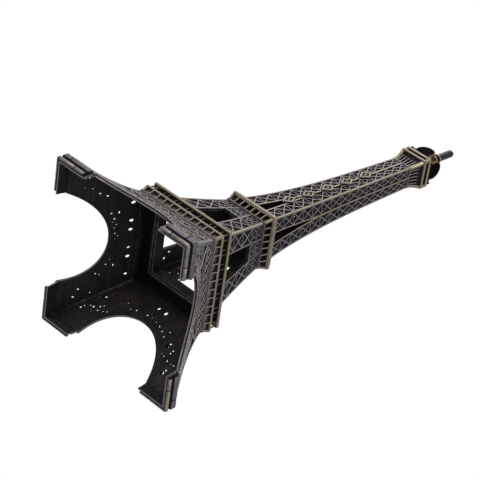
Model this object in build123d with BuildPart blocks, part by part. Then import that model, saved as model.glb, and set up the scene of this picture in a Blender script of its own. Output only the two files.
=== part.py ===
from build123d import *
import math
import os

# A square lattice tower in miniature: four arched cast sides on plinths, a first gallery,
# a middle stage on four legs, a second gallery, a slender shaft, a capital and a mast.
# Millimetres, +Z up, +X right, +Y back. The origin is the middle of the base.

# ---- Driving dimensions ----
TOTAL_HEIGHT = 180.0
BASE_HALF = 34.5            # outer face of the plinths, measured from the axis
LOWER_WALL = 1.1
MIDDLE_WALL = 1.3
SHAFT_WALL = 1.0

PLINTH_HEIGHT = 5.0
PLINTH_DEPTH = 0.9          # how far a plinth stands out from its side
PLINTH_ARM = 14.2           # each arm of an L-shaped plinth
COURSE_GAP = (1.4, 2.4)     # deep groove between the two courses of masonry
COURSE_SETBACK = (0.7, 0.1) # how far the groove and the upper course stand back
JOINTS = (9.15, 4.2)        # joint of the lower and of the upper course, from the corner

ARCH_RADIUS = 19.6
ARCH_CENTRE = -0.9
ARCH_BAND_RADIUS = 22.4     # small openings round the arch
BAND_LEVEL = 25.7           # straight band of openings above the arch
BAND_PITCH = 3.8
RIB = 1.0                   # width of a bar between two openings

MOULDING_LEVEL = 27.8       # top of the flare, under the first gallery
FIRST_RECESS = 18.6         # wall behind the first brackets
LOWER_TOP = 33.0            # top edge of the lower sides
FIRST_MOULDING = (MOULDING_LEVEL, MOULDING_LEVEL + 1.0)
FIRST_BRACKETS = (19.5, 0.7)  # reach at the foot, and how far they lean out
FIRST_RAIL = (31.2, 32.1)
FIRST_RIM = (35.0, 36.2)
FIRST_RIM_HALF = 20.3
FIRST_CELLS = 11            # cells between brackets on each side
POST_PITCH = 6.1            # pairs of small posts under the first rim
POST_GAP = 2.1
POST_SIZE = 0.5
POST_PAIRS = 7
DECK_OPENING = 11.5         # half width of the opening in the first deck
DECK_LIP = 2.4              # width of the lip round the opening
DECK_LIP_LOW = 31.0

MIDDLE_FOOT = 35.0
WINDOW = (6.9, 3.6, 56.2)   # half width at the foot, half width at the top, top level
SECOND_MOULDING = 63.2
SECOND_RECESS = 9.1         # wall behind the second brackets
MIDDLE_TOP = 67.2
SECOND_RIM = (67.2, 68.5)
SECOND_BRACKETS = (9.9, 0.9)
SECOND_RAIL = (66.6, 67.2)
SECOND_RIM_HALF = 11.3
SECOND_RIM_OPENING = 6.5
SECOND_CELLS = 7
PARAPET = (10.4, 9.15, 1.2)  # outer and inner half width, height

SHAFT_FOOT = 68.5
SLOT = (2.3, 94.5)          # half width at the foot, level where the slot closes
SHORT_SLOT = (1.5, 80.0)    # the same on the back and on the left
SHAFT_TOP = 148.6
ORNAMENT_LEVELS = (86.0, 96.5, 107.0, 117.5, 128.0)
ORNAMENT_HALF = (2.5, 3.7)
ORNAMENT_RELIEF = 0.7

CAPITAL_TOP = 155.4
CAPITAL_HALF = 6.05
CABIN_HALF = 6.35
CABIN_LEVELS = (155.4, 156.5, 158.1, 159.3)  # lower rim, groove, upper rim, top
CABIN_RECESS = 0.9
CABIN_CORNER = 1.3
GABLE_RADIUS = 3.9
GABLE_CENTRE = 162.45
GABLE_FACE = 5.9
GABLE = 0.8                 # thickness of a gable
GABLE_FOOT = (4.6, 1.3)     # half width and height of the strip that a gable stands on
CROWN_POST = (5.35, 1.0, 2.0)  # place of a corner post, its width and height
VAULT_RADIUS = 3.1
VAULT_CENTRE = 160.2
COLLAR_LEVEL = 163.5
COLLAR_RINGS = [(2.1, 0.8), (1.5, 1.5), (1.9, 0.7), (1.5, 1.9), (1.9, 0.7), (1.5, 1.5), (1.9, 0.7)]
MAST_RADIUS = 1.5

# Side profiles as Bezier control points: (half width, height) of the outer face.
LOWER_PROFILE = [(BASE_HALF - PLINTH_DEPTH, PLINTH_HEIGHT), (23.25, 17.4), (19.5, MOULDING_LEVEL)]
MIDDLE_PROFILE = [(16.7, MIDDLE_FOOT), (12.7, 49.1), (9.8, SECOND_MOULDING)]
SHAFT_PROFILE = [(9.15, SHAFT_FOOT), (5.7, 92.2), (5.2, 122.0), (4.6, SHAFT_TOP)]
FLARE_PROFILE = [(4.7, SHAFT_TOP), (4.6, SHAFT_TOP + 2.6), (CAPITAL_HALF, CAPITAL_TOP - 0.6)]

SIDES = {"right": 0, "back": 90, "left": 180, "front": 270}
CORNERS = {"back_right": 0, "back_left": 90, "front_left": 180, "front_right": 270}
REACH = BASE_HALF + 1.5     # longer than anything it cuts


# ---- Helpers ----
def curve_point(profile, t):
    """Point of a Bezier curve at t from 0 to 1."""
    degree = len(profile) - 1
    weights = [math.comb(degree, i) * t**i * (1 - t) ** (degree - i) for i in range(degree + 1)]
    return tuple(sum(w * p[axis] for w, p in zip(weights, profile)) for axis in (0, 1))


def half_width(profile, height):
    """Half width of a side profile at a height."""
    low, high = 0.0, 1.0
    for _ in range(40):
        middle = (low + high) / 2
        if curve_point(profile, middle)[1] < height:
            low = middle
        else:
            high = middle
    return curve_point(profile, low)[0]


def shifted(points, by):
    """The same profile, moved outwards by a distance."""
    return [(x + by, z) for x, z in points]


def square(outer, level, inner=0):
    """A square outline, or a square ring, lying at a level."""
    with BuildSketch(Plane.XY.offset(level)) as outline:
        Rectangle(2 * outer, 2 * outer)
        if inner:
            Rectangle(2 * inner, 2 * inner, mode=Mode.SUBTRACT)
    return outline.sketch


def disc(radius, level):
    """A round outline lying at a level."""
    with BuildSketch(Plane.XY.offset(level)) as outline:
        Circle(radius)
    return outline.sketch


def wall_section(profile, wall, foot=(), head=(), inner_head=(), inner_foot=()):
    """Section of one side: its curved face, and straight runs below and above it."""
    with BuildSketch(Plane.XZ) as section:
        with BuildLine():
            outer = Bezier(*profile)
            inner = Bezier(*shifted(profile, -wall))
            Polyline(inner @ 0, *inner_foot, *foot, outer @ 0)
            Polyline(outer @ 1, *head, *inner_head, inner @ 1)
        make_face()
    return section.sketch


def quarter_plan(level):
    """The quarter of the plan that belongs to the right-hand side, bounded by its mitres."""
    with BuildSketch(Plane.XY.offset(level)) as quarter:
        Polygon((0, 0), (REACH, -REACH), (REACH, REACH), align=None)
    return quarter.sketch


def shrunk(triangle, rib):
    """A triangle drawn in from its sides by half a rib, or None when nothing is left."""
    middle = tuple(sum(p[i] for p in triangle) / 3 for i in (0, 1))
    around = sum(math.dist(p, q) for p, q in zip(triangle, triangle[1:] + triangle[:1]))
    (ax, ay), (bx, by), (cx, cy) = triangle
    inradius = abs((bx - ax) * (cy - ay) - (by - ay) * (cx - ax)) / around
    scale = 1 - rib / 2 / inradius
    if scale < 0.25:
        return None
    return [tuple(m + (p - m) * scale for p, m in zip(q, middle)) for q in triangle]


def braced_cells(edges, levels, rib):
    """Triangular openings of X-braced cells between two edges u(z), with ribs left between."""
    openings = []
    for low, high in zip(levels, levels[1:]):
        corners = [(edges[0](low), low), (edges[1](low), low)]
        corners += [(edges[1](high), high), (edges[0](high), high)]
        centre = tuple(sum(c[i] for c in corners) / 4 for i in (0, 1))
        for first, second in zip(corners, corners[1:] + corners[:1]):
            openings.append(shrunk([first, second, centre], rib))
    return [triangle for triangle in openings if triangle]


def both_legs(openings):
    """Openings of one leg and their mirror images in the other leg."""
    return openings + [[(-u, z) for u, z in reversed(triangle)] for triangle in openings]


def stepped_levels(low, high, count, growth=1.0):
    """Levels from low to high in a number of steps that each grow by a factor."""
    sizes = [growth**i for i in range(count)]
    unit = (high - low) / sum(sizes)
    return [low + unit * sum(sizes[:i]) for i in range(count + 1)]


def openings_sketch(openings):
    """Polygonal openings on the plane of the right-hand side."""
    with BuildSketch(Plane.YZ) as sketch:
        for outline in openings:
            Polygon(*outline, align=None)
    return sketch.sketch


def save(part, name):
    """Label a finished piece and write it."""
    part.label = name
    export_step(part, f"parts/{name}.step")


os.makedirs("parts", exist_ok=True)


# ---- Cast sides, each drawn on the right and turned to its place ----
def arch_band_openings():
    """Small triangles in the curved band round an arch, pointing outwards."""
    openings = []
    for step in range(13):
        turn = math.radians(48 + 7 * step)
        points = []
        for radius, swing in ((-0.55, -0.75), (-0.55, 0.75), (0.75, 0)):
            reach = ARCH_BAND_RADIUS + radius
            angle = turn + swing / ARCH_BAND_RADIUS
            points.append((reach * math.cos(angle), ARCH_CENTRE + reach * math.sin(angle)))
        openings.append(points)
    return openings


def top_band_openings():
    """Diamonds in the straight band above an arch."""
    half_u, half_z = 0.75, 0.95
    centres = [BAND_PITCH * (i - 4) for i in range(9)]
    return [[(u - half_u, BAND_LEVEL), (u, BAND_LEVEL - half_z), (u + half_u, BAND_LEVEL),
             (u, BAND_LEVEL + half_z)] for u in centres]


def lower_leg_openings():
    """Braced cells between the arch band and the corner chord of both legs."""
    def outer_edge(level):
        return half_width(LOWER_PROFILE, level) - 1.8

    def inner_edge(level):
        return math.sqrt((ARCH_RADIUS + 1.6) ** 2 - (level - ARCH_CENTRE) ** 2)

    return both_legs(braced_cells((inner_edge, outer_edge), stepped_levels(6.6, 19.5, 3), RIB))


def make_lower_side():
    """Arched side that flares down to the plinths."""
    foot = LOWER_PROFILE[0][0]
    inner_recess = FIRST_RECESS - 1.2
    section = wall_section(
        LOWER_PROFILE, LOWER_WALL, foot=[(foot, 0)], inner_foot=[(foot - LOWER_WALL, 0)],
        head=[(FIRST_RECESS, MOULDING_LEVEL), (FIRST_RECESS, LOWER_TOP)],
        inner_head=[(inner_recess, LOWER_TOP), (inner_recess, MOULDING_LEVEL + 0.8)])
    with BuildPart() as side:
        extrude(section, amount=REACH, both=True)
        extrude(quarter_plan(-1), amount=LOWER_TOP + 2, mode=Mode.INTERSECT)
        with BuildSketch(Plane.YZ):
            with Locations((0, ARCH_CENTRE)):
                Circle(ARCH_RADIUS)
        extrude(amount=REACH, mode=Mode.SUBTRACT)
        openings = arch_band_openings() + top_band_openings() + lower_leg_openings()
        extrude(openings_sketch(openings), amount=REACH, mode=Mode.SUBTRACT)
    return side.part


def window_half(level):
    """Half width of the opening between the legs of the middle stage."""
    foot, top, top_level = WINDOW
    return foot + (top - foot) * (level - MIDDLE_FOOT) / (top_level - MIDDLE_FOOT)


def make_middle_side():
    """Side of the middle stage: two braced legs under a deep header."""
    inner_recess = SECOND_RECESS - 1.1
    section = wall_section(
        MIDDLE_PROFILE, MIDDLE_WALL,
        head=[(SECOND_RECESS, SECOND_MOULDING), (SECOND_RECESS, MIDDLE_TOP)],
        inner_head=[(inner_recess, MIDDLE_TOP), (inner_recess, SECOND_MOULDING + 0.5)])

    def outer_edge(level):
        return half_width(MIDDLE_PROFILE, level) - 0.9

    def inner_edge(level):
        return window_half(level) + 0.8

    sill = MIDDLE_FOOT - 1
    top = WINDOW[2]
    window = [(-window_half(sill), sill), (window_half(sill), sill)]
    window += [(window_half(top), top), (-window_half(top), top)]
    legs = both_legs(braced_cells((inner_edge, outer_edge), stepped_levels(36.6, 56.0, 4, 0.93), 0.9))
    with BuildPart() as side:
        extrude(section, amount=REACH / 2, both=True)
        extrude(quarter_plan(MIDDLE_FOOT - 1), amount=MIDDLE_TOP - MIDDLE_FOOT + 2, mode=Mode.INTERSECT)
        extrude(openings_sketch([window] + legs), amount=REACH / 2, mode=Mode.SUBTRACT)
    return side.part


def make_shaft_side(slot):
    """Side of the shaft: two braced strips that meet where the slot between them closes."""
    def outer_edge(level):
        return half_width(SHAFT_PROFILE, level) - 0.75

    def inner_edge(level):
        share = max(0.0, 1 - (level - SHAFT_FOOT) / (SLOT[1] - SHAFT_FOOT))
        return SLOT[0] * share + 0.5

    slot_half, closing = slot
    gap = [(-slot_half, SHAFT_FOOT + 1.4), (slot_half, SHAFT_FOOT + 1.4), (0, closing)]
    strips = both_legs(braced_cells((inner_edge, outer_edge), stepped_levels(70.4, 147.6, 15, 0.985), 0.7))
    with BuildPart() as side:
        extrude(wall_section(SHAFT_PROFILE, SHAFT_WALL), amount=REACH / 2, both=True)
        extrude(quarter_plan(SHAFT_FOOT - 1), amount=SHAFT_TOP - SHAFT_FOOT + 2, mode=Mode.INTERSECT)
        extrude(openings_sketch([gap] + strips), amount=REACH / 2, mode=Mode.SUBTRACT)
    return side.part


lower_side = make_lower_side()
middle_side = make_middle_side()
shaft_side = make_shaft_side(SLOT)
hidden_shaft_side = make_shaft_side(SHORT_SLOT)
masters = {
    "lower": dict.fromkeys(SIDES, lower_side),
    "middle": dict.fromkeys(SIDES, middle_side),
    "shaft": {"right": shaft_side, "back": hidden_shaft_side, "left": hidden_shaft_side, "front": shaft_side},
}
for stage, by_side in masters.items():
    for side_name, turn in SIDES.items():
        with BuildPart() as panel:
            add(by_side[side_name].rotate(Axis.Z, turn))
        save(panel.part, f"{stage}_panel_{side_name}")


# ---- Plinths ----
def make_plinth():
    """L-shaped plinth of two masonry courses round the foot of one corner."""
    inner = BASE_HALF - PLINTH_DEPTH
    groove, step = COURSE_SETBACK
    courses = [(0, COURSE_GAP[0], 0), (*COURSE_GAP, groove), (COURSE_GAP[1], PLINTH_HEIGHT, step)]
    joint_size = 0.6
    with BuildPart() as shoe:
        for low, high, setback in courses:
            with BuildSketch(Plane.XY.offset(low)):
                with Locations((BASE_HALF - PLINTH_ARM, BASE_HALF - PLINTH_ARM)):
                    Rectangle(PLINTH_ARM - setback, PLINTH_ARM - setback, align=(Align.MIN, Align.MIN))
                Rectangle(2 * inner, 2 * inner, mode=Mode.SUBTRACT)
            extrude(amount=high - low)
        for (low, high, _), along in zip(courses[::2], JOINTS):
            with BuildSketch(Plane.XY.offset(low)):
                with Locations((BASE_HALF, BASE_HALF - along), (BASE_HALF - along, BASE_HALF)):
                    Rectangle(joint_size, joint_size, rotation=45)
            extrude(amount=high - low, mode=Mode.SUBTRACT)
    return shoe.part


plinth_master = make_plinth()
for corner_name, turn in CORNERS.items():
    with BuildPart() as plinth:
        add(plinth_master.rotate(Axis.Z, turn))
    save(plinth.part, f"plinth_{corner_name}")


# ---- Galleries ----
def bracket_row(recess, half, low, high, lean, cells, thickness):
    """Leaning brackets on the right-hand side, one between each two cells."""
    outline = [(recess, low), (half, low), (half + lean, high), (recess, high)]
    places = [2 * half * (i / cells - 0.5) for i in range(1, cells)]
    with BuildPart() as row:
        with BuildSketch(Plane.XZ):
            Polygon(*outline, align=None)
        extrude(amount=half + lean, both=True)
        with BuildSketch(Plane.YZ):
            for place in places:
                with Locations((place, (low + high) / 2)):
                    Rectangle(thickness, high - low + 2)
        extrude(amount=REACH, mode=Mode.INTERSECT)
    return row.part


def corner_post(half, low, high, lean, thickness):
    """Bracket on the diagonal between the right-hand side and the back."""
    with BuildPart() as post:
        with BuildSketch(Plane.XY.offset(low)):
            with Locations((half - thickness, half - thickness)):
                Rectangle(thickness, thickness, align=(Align.MIN, Align.MIN))
        with BuildSketch(Plane.XY.offset(high)):
            with Locations((half + lean - thickness, half + lean - thickness)):
                Rectangle(thickness, thickness, align=(Align.MIN, Align.MIN))
        loft()
    return post.part


def make_gallery(moulding, rail, recess, bracket, cells, thickness):
    """Moulding and rail round the tower, joined by leaning brackets."""
    half, lean = bracket
    low, high = moulding[1] - 0.1, rail[0] + 0.1
    row = bracket_row(recess, half, low, high, lean, cells, thickness)
    post = corner_post(half, low, high, lean, 1.0)
    with BuildPart() as gallery:
        extrude(square(half + 0.3, moulding[0], recess), amount=moulding[1] - moulding[0])
        extrude(square(half + lean + 0.2, rail[0], recess), amount=rail[1] - rail[0])
        for turn in SIDES.values():
            add(row.rotate(Axis.Z, turn))
            add(post.rotate(Axis.Z, turn))
    return gallery.part


first_gallery = make_gallery(FIRST_MOULDING, FIRST_RAIL, FIRST_RECESS, FIRST_BRACKETS, FIRST_CELLS, 0.6)
save(first_gallery, "first_gallery")

second_moulding = (SECOND_MOULDING, SECOND_MOULDING + 0.8)
second_gallery = make_gallery(
    second_moulding, SECOND_RAIL, SECOND_RECESS, SECOND_BRACKETS, SECOND_CELLS, 0.55)
save(second_gallery, "second_gallery")

# Deck of the first gallery: a tray with a square opening and a lip round it.
with BuildPart() as first_deck:
    extrude(square(FIRST_RECESS, LOWER_TOP, DECK_OPENING), amount=MIDDLE_FOOT - LOWER_TOP)
    extrude(square(DECK_OPENING + DECK_LIP, DECK_LIP_LOW, DECK_OPENING), amount=LOWER_TOP - DECK_LIP_LOW)
save(first_deck.part, "first_deck")

# Rim over the first gallery, carried on pairs of small posts.
def pair_places():
    """Places of the small posts along a side, in pairs."""
    middles = [POST_PITCH * (i - (POST_PAIRS - 1) / 2) for i in range(POST_PAIRS)]
    return [middle + side * POST_GAP / 2 for middle in middles for side in (-1, 1)]


with BuildPart() as first_rim:
    extrude(square(FIRST_RIM_HALF, FIRST_RIM[0], FIRST_RECESS), amount=FIRST_RIM[1] - FIRST_RIM[0])
    with BuildSketch(Plane.XY.offset(FIRST_RAIL[1])):
        for turn in SIDES.values():
            with Locations(Plane.XY.rotated((0, 0, turn))):
                with Locations(*[(FIRST_RECESS + 0.75, place) for place in pair_places()]):
                    Rectangle(POST_SIZE, POST_SIZE)
    extrude(amount=FIRST_RIM[0] + 0.1 - FIRST_RAIL[1])
    top_edges = first_rim.faces().sort_by(Axis.Z)[-1].outer_wire().edges()
    chamfer(top_edges, 0.35)
save(first_rim.part, "first_rim")

# Two rims over the second gallery, the upper one stepped in.
with BuildPart() as second_rim:
    extrude(square(SECOND_RIM_HALF, SECOND_RIM[0], SECOND_RIM_OPENING), amount=SECOND_RIM[1] - SECOND_RIM[0])
    chamfer(second_rim.faces().sort_by(Axis.Z)[-1].outer_wire().edges(), 0.3)
save(second_rim.part, "second_rim")

with BuildPart() as second_parapet:
    extrude(square(PARAPET[0], SECOND_RIM[1], PARAPET[1]), amount=PARAPET[2])
    chamfer(second_parapet.faces().sort_by(Axis.Z)[-1].outer_wire().edges(), 0.25)
save(second_parapet.part, "second_parapet")

# ---- Ornaments on the front of the shaft: five plain lozenges ----
def front_plane(level):
    """Plane on the front face of the shaft at a level, leaning with the face."""
    drawn_in = half_width(SHAFT_PROFILE, level - 1) - half_width(SHAFT_PROFILE, level + 1)
    lean = math.degrees(math.atan2(drawn_in, 2))
    origin = (0, -half_width(SHAFT_PROFILE, level) - 0.02, level)
    return Plane(origin=origin, x_dir=(1, 0, 0), z_dir=(0, -1, 0)).rotated((-lean, 0, 0))


across, along = ORNAMENT_HALF
with BuildPart() as front_ornaments:
    for level in ORNAMENT_LEVELS:
        with BuildSketch(front_plane(level)):
            Polygon((-across, 0), (0, -along), (across, 0), (0, along), align=None)
        extrude(amount=ORNAMENT_RELIEF, taper=20)
save(front_ornaments.part, "front_ornaments")


# ---- Capital ----
def flare_section(plane):
    """Flared outline of the capital, on a vertical plane through the axis."""
    with BuildSketch(plane) as outline:
        with BuildLine():
            flare = Bezier(*FLARE_PROFILE)
            Polyline(flare @ 1, (CAPITAL_HALF, CAPITAL_TOP), (0, CAPITAL_TOP), (0, SHAFT_TOP), flare @ 0)
        make_face()
        mirror(about=Plane.YZ)
    return outline.sketch


with BuildPart() as capital:
    extrude(flare_section(Plane.XZ), amount=REACH, both=True)
    extrude(flare_section(Plane.YZ), amount=REACH, both=True, mode=Mode.INTERSECT)
save(capital.part, "capital")

# ---- Cabin above the capital: two rims, and a body set back between its corners ----
sill, groove_low, groove_high, cabin_top = CABIN_LEVELS
with BuildPart() as cabin_lower_rim:
    extrude(square(CABIN_HALF, sill), amount=groove_low - sill)
    chamfer(cabin_lower_rim.edges().filter_by(Axis.Z), 0.4)
save(cabin_lower_rim.part, "cabin_lower_rim")

corner_place = 2 * CABIN_HALF - CABIN_CORNER - 0.3
with BuildPart() as cabin_body:
    extrude(square(CABIN_HALF - CABIN_RECESS, groove_low), amount=groove_high - groove_low)
    with BuildSketch(Plane.XY.offset(groove_low)):
        with GridLocations(corner_place, corner_place, 2, 2):
            Rectangle(CABIN_CORNER, CABIN_CORNER)
    extrude(amount=groove_high - groove_low)
save(cabin_body.part, "cabin_body")

with BuildPart() as cabin_upper_rim:
    extrude(square(CABIN_HALF - 0.05, groove_high), amount=cabin_top - groove_high)
    chamfer(cabin_upper_rim.edges().filter_by(Axis.Z), 0.4)
save(cabin_upper_rim.part, "cabin_upper_rim")

# Corner posts of the crown.
post_place, post_width, post_height = CROWN_POST
with BuildPart() as crown_posts:
    with BuildSketch(Plane.XY.offset(cabin_top)):
        with GridLocations(2 * post_place, 2 * post_place, 2, 2):
            Rectangle(post_width, post_width)
    extrude(amount=post_height)
    chamfer(crown_posts.faces().group_by(Axis.Z)[-1].edges(), 0.25)
save(crown_posts.part, "crown_posts")


# ---- Crown: two low crossing vaults behind four round gables ----
def vault_outline(plane):
    """Low round-backed outline that stands on top of the cabin."""
    with BuildSketch(plane) as outline:
        with Locations((0, VAULT_CENTRE)):
            Circle(VAULT_RADIUS)
        with Locations((0, cabin_top)):
            Rectangle(4 * VAULT_RADIUS, 4 * VAULT_RADIUS, align=(Align.CENTER, Align.MAX), mode=Mode.SUBTRACT)
    return outline.sketch


gable_back = GABLE_FACE - GABLE
with BuildPart() as vault:
    for plane in (Plane.YZ, Plane.XZ):
        extrude(vault_outline(plane), amount=gable_back, both=True)
    extrude(disc(2.1, VAULT_CENTRE), amount=COLLAR_LEVEL - VAULT_CENTRE)
save(vault.part, "crown_vault")

foot_half, foot_height = GABLE_FOOT
with BuildPart() as gable_master:
    with BuildSketch(Plane.YZ.offset(gable_back)):
        with Locations((0, GABLE_CENTRE)):
            Circle(GABLE_RADIUS)
        with Locations((0, cabin_top)):
            Rectangle(2 * foot_half, foot_height, align=(Align.CENTER, Align.MIN))
            Rectangle(40, 20, align=(Align.CENTER, Align.MAX), mode=Mode.SUBTRACT)
    extrude(amount=GABLE)
for side_name, turn in SIDES.items():
    with BuildPart() as gable:
        add(gable_master.part.rotate(Axis.Z, turn))
    save(gable.part, f"crown_gable_{side_name}")


# ---- Mast ----
def turned(rings, low):
    """Stack of round rings, given as (radius, height), from a level up."""
    level = low
    with BuildPart() as stack:
        for radius, height in rings:
            extrude(disc(radius, level), amount=height)
            level += height
    return stack.part


with BuildPart() as mast_collar:
    add(turned(COLLAR_RINGS, COLLAR_LEVEL))
save(mast_collar.part, "mast_collar")

mast_foot = COLLAR_LEVEL + sum(height for _, height in COLLAR_RINGS)
with BuildPart() as mast:
    extrude(disc(MAST_RADIUS, mast_foot), amount=TOTAL_HEIGHT - mast_foot)
    fillet(mast.faces().sort_by(Axis.Z)[-1].edges(), MAST_RADIUS - 0.1)
save(mast.part, "mast")


# ---- Solder in the inner corners ----
def make_solder(profile, wall, radius, panels):
    """Bead along the inner corner of a stage, shaped to the two sides that meet there."""
    diagonal = Plane(origin=(0, 0, 0), x_dir=(1, 1, 0), z_dir=(1, -1, 0))
    ends = [curve_point(profile, t) for t in (0.04, 0.5, 0.96)]
    points = [(math.sqrt(2) * (x - wall), z) for x, z in ends]
    with BuildPart() as bead:
        with BuildLine(diagonal) as path:
            ThreePointArc(*points)
        start = path.line @ 0
        with BuildSketch(Plane(origin=start, z_dir=path.line % 0)):
            Circle(radius)
        sweep()
        for side_part in panels:
            add(side_part, mode=Mode.SUBTRACT)
    return bead.part


def solder_group(profile, wall, radius, master, name):
    """The four beads of a stage, one in each inner corner."""
    bead = make_solder(profile, wall, radius, [master, master.rotate(Axis.Z, 90)])
    with BuildPart() as group:
        for turn in CORNERS.values():
            add(bead.rotate(Axis.Z, turn))
    save(group.part, name)


solder_group(LOWER_PROFILE, LOWER_WALL, 0.65, lower_side, "solder_lower")
solder_group(MIDDLE_PROFILE, MIDDLE_WALL, 0.7, middle_side, "solder_middle")
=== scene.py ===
import math
from itertools import product

import bpy
import numpy as np
from mathutils import Matrix, Vector
from mathutils.geometry import delaunay_2d_cdt


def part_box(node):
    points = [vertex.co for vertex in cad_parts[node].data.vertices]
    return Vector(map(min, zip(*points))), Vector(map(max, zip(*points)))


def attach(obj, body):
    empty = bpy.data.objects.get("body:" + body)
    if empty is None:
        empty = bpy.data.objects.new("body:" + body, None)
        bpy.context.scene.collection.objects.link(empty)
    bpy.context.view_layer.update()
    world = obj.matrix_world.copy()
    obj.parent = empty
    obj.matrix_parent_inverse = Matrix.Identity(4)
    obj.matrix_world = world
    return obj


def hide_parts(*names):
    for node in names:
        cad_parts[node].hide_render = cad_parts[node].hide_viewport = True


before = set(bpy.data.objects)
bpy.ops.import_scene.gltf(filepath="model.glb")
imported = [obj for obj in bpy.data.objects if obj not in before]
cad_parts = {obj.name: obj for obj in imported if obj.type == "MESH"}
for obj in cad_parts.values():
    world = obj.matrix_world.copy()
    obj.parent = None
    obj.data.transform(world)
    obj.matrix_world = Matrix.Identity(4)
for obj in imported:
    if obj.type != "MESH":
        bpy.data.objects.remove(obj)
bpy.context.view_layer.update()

# A miniature lattice tower in antiqued cast metal. Lengths are in millimetres until a
# piece is made, when MM turns them into Blender's metres. Every piece rides on "root".

MM = 0.001


def node_box(node):
    """Lowest and highest corners of a CAD node, in millimetres."""
    low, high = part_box(node)
    return np.array(low) / MM, np.array(high) / MM


def reach_of(node):
    """How far a CAD node reaches from the axis."""
    return node_box(node)[1][0]


def foot_of(node):
    """Level at which a CAD node starts."""
    return node_box(node)[0][2]


def top_of(node):
    """Level at which a CAD node ends."""
    return node_box(node)[1][2]


# ---- Sizes read from the frame ----
BASE_HALF = reach_of("plinth_front_right")
PLINTH_HEIGHT = top_of("plinth_front_right")
PLINTH_ARM = BASE_HALF - node_box("plinth_front_right")[0][0]
FOOT_HALF = reach_of("lower_panel_right")
LOWER_TOP = top_of("lower_panel_right")
MOULDING_LOW = foot_of("first_gallery")
RAIL_TOP = top_of("first_gallery")
RAIL_HALF = reach_of("first_gallery")
FIRST_RECESS = reach_of("first_deck")
DECK_LOW = foot_of("first_deck")
MIDDLE_FOOT = top_of("first_deck")
FIRST_RIM_TOP = top_of("first_rim")
FIRST_RIM_HALF = reach_of("first_rim")
MIDDLE_FOOT_HALF = reach_of("middle_panel_right")
SECOND_LOW = foot_of("second_gallery")
SECOND_RIM_LOW, SECOND_RIM_TOP = foot_of("second_rim"), top_of("second_rim")
SECOND_RIM_HALF = reach_of("second_rim")
PARAPET_HALF = reach_of("second_parapet")
PARAPET_TOP = top_of("second_parapet")
SHAFT_FOOT_HALF = reach_of("shaft_panel_right")
SHAFT_FOOT, SHAFT_TOP = foot_of("shaft_panel_right"), top_of("shaft_panel_right")
CAPITAL_TOP = top_of("capital")
CAPITAL_HALF = reach_of("capital")
CABIN_HALF = reach_of("cabin_lower_rim")
GROOVE_LOW, GROOVE_HIGH = foot_of("cabin_body"), top_of("cabin_body")
CABIN_TOP = top_of("cabin_upper_rim")
GABLE_TOP = top_of("crown_gable_right")
GABLE_OUT = reach_of("crown_gable_right")
VAULT_TOP = top_of("crown_vault")
COLLAR_TOP = top_of("mast_collar")
MAST_TOP = top_of("mast")
MAST_RADIUS = reach_of("mast")

# ---- Sizes of the design that no box gives ----
DECK_OPENING = 11.5
DECK_LIP = 2.4
LOWER_WALL = 1.1
MIDDLE_WALL = 1.3
SHAFT_WALL = 1.0
RELIEF = 0.5                # how far bars stand out from the sheet between them
BAR_ROOT = -RELIEF - 0.05   # how deep a bar is set, a little into the sheet
SHAFT_BAR_ROOT = -0.5
ARCH_RADIUS = 19.6
ARCH_CENTRE = -0.9
ARCH_BAND = (21.0, 23.3)    # inner and outer radius of the curved lattice band
ARCH_PITCH = 6.35           # degrees from one V of the curved band to the next
ARCH_HALF_PITCH = 3.2
BAND = (24.0, 27.3)         # low and high edge of the straight lattice band
BAND_PITCH = 3.8
WINDOW = (6.9, 3.6, 56.2)   # half width at the foot, half width at the top, top level
HEADER_LOW = 56.2
SLOT = (2.3, 70.0, 94.5)    # half width at the foot, low end, level where it closes
SHORT_SLOT = (1.5, 70.0, 80.0)
SECOND_RECESS = 9.1
COURSES = (1.4, 2.4)        # top of the lower plinth course, foot of the upper one
JOINTS = (9.15, 4.2)        # joint in each course, from the plinth's corner
GABLE_RADIUS = 3.9
GABLE_CENTRE = GABLE_TOP - GABLE_RADIUS
GABLE_THICKNESS = 0.8
GABLE_FOOT = (4.6, 1.3)     # half width and height of the strip that a gable stands on
VAULT_RADIUS = 3.1
ORNAMENT_LEVELS = (86.0, 96.5, 107.0, 117.5, 128.0)
ORNAMENT_HALF = (2.5, 3.7)

LOWER_PROFILE = [(FOOT_HALF, PLINTH_HEIGHT), (23.25, 17.4), (19.5, MOULDING_LOW)]
MIDDLE_PROFILE = [(MIDDLE_FOOT_HALF, MIDDLE_FOOT), (12.7, 49.1), (9.8, SECOND_LOW)]
SHAFT_PROFILE = [(SHAFT_FOOT_HALF, SHAFT_FOOT), (5.7, 92.2), (5.2, 122.0), (4.6, SHAFT_TOP)]

SIDES = {"right": 0, "back": 1, "left": 2, "front": 3}
CORNERS = {"back_right": 0, "back_left": 1, "front_left": 2, "front_right": 3}


# ---- Camera, floor and light ----
VIEW_TURNS = (47.91, -39.21, 68.86)   # azimuth, elevation and roll in degrees
VIEW_DISTANCE = 781.0
VIEW_TARGET = (-0.48, 2.96, 63.13)
LENS = 159.4
LIGHT_TARGET = Vector((0, 0, 80)) * MM
LIGHT_DISTANCE = 0.8
FLOOR_HALF = 2.5


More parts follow.
